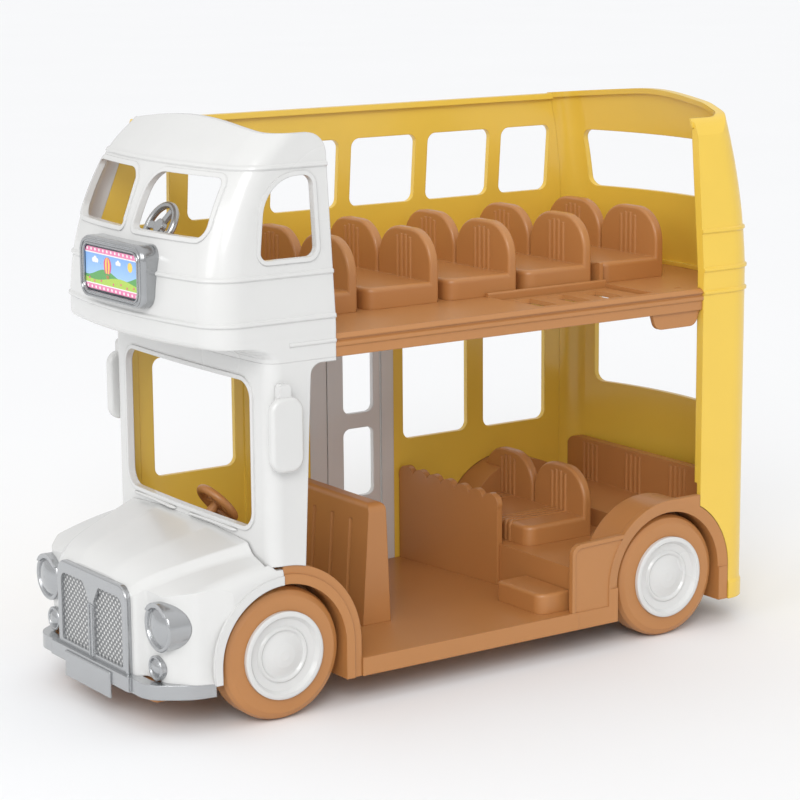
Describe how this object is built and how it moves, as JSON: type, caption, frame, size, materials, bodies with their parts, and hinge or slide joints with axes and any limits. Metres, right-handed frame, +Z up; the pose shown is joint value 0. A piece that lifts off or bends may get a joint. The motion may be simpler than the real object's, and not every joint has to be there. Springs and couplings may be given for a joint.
{
  "type": "toy double decker bus",
  "caption": "Open sided toy double decker bus with bonnet, rolling wheels, seats on both decks, a hinged passenger door and a drop down stair hatch.",
  "frame": {"origin": "on the ground under the middle of the bus, halfway along its length and width", "axes": "+Z up; -X towards the bonnet; -Y towards the open side"},
  "size_m": [0.3114, 0.135, 0.2356],
  "materials": {
    "white_plastic": "glossy",
    "yellow_plastic": "glossy",
    "brown_plastic": "satin",
    "silver_plastic": "metallic satin",
    "sign_print": "printed",
    "axle_steel": "bright"
  },
  "bodies": {
    "bus_body": {"upper_shell": "white_plastic", "cab_frame": "white_plastic", "bonnet": "white_plastic", "door_frame": "white_plastic", "far_wall": "yellow_plastic", "rear_wall": "yellow_plastic", "floor_pan": "brown_plastic", "rear_platform": "brown_plastic", "front_arch_near": "brown_plastic", "front_arch_far": "brown_plastic", "step": "brown_plastic", "scalloped_partition": "brown_plastic", "driver_seat_back": "brown_plastic", "lower_twin_seat": "brown_plastic", "rear_bench": "brown_plastic", "steering_wheel": "brown_plastic", "upper_deck": "brown_plastic", "upper_seat_1": "brown_plastic", "upper_seat_2": "brown_plastic", "upper_seat_3": "brown_plastic", "upper_seat_4": "brown_plastic", "upper_seat_5": "brown_plastic", "upper_wheel": "silver_plastic", "grille": "silver_plastic", "bumper": "silver_plastic", "number_plate": "silver_plastic", "headlamp_near": "silver_plastic", "headlamp_far": "silver_plastic", "fog_lamp_near": "silver_plastic", "fog_lamp_far": "silver_plastic", "mirror_near": "white_plastic", "mirror_far": "white_plastic", "sign_frame": "silver_plastic", "sign_panel": "sign_print"},
    "front_wheels": {"front_axle": "axle_steel", "tyre_front_near": "brown_plastic", "hub_front_near": "white_plastic", "tyre_front_far": "brown_plastic", "hub_front_far": "white_plastic"},
    "rear_wheels": {"rear_axle": "axle_steel", "tyre_rear_near": "brown_plastic", "hub_rear_near": "white_plastic", "tyre_rear_far": "brown_plastic", "hub_rear_far": "white_plastic"},
    "passenger_door": {"door_leaf": "white_plastic"},
    "deck_hatch": {"stair_hatch": "brown_plastic"}
  },
  "joints": [
    {"name": "front_axle_roll", "type": "hinge", "parent": "bus_body", "child": "front_wheels", "pos_m": [-0.10015, 0, 0.027], "axis": [0, 1, 0], "continuous": true},
    {"name": "rear_axle_roll", "type": "hinge", "parent": "bus_body", "child": "rear_wheels", "pos_m": [0.09805, 0, 0.027], "axis": [0, 1, 0], "continuous": true},
    {"name": "passenger_door_hinge", "type": "hinge", "parent": "bus_body", "child": "passenger_door", "pos_m": [0.0281, 0.06125, 0.0785], "axis": [0, 0, -1], "range_deg": [0, 95]},
    {"name": "deck_hatch_hinge", "type": "hinge", "parent": "bus_body", "child": "deck_hatch", "pos_m": [0.02995, -0.041, 0.1503], "axis": [0, 1, 0], "range_deg": [0, 85]}
  ]
}
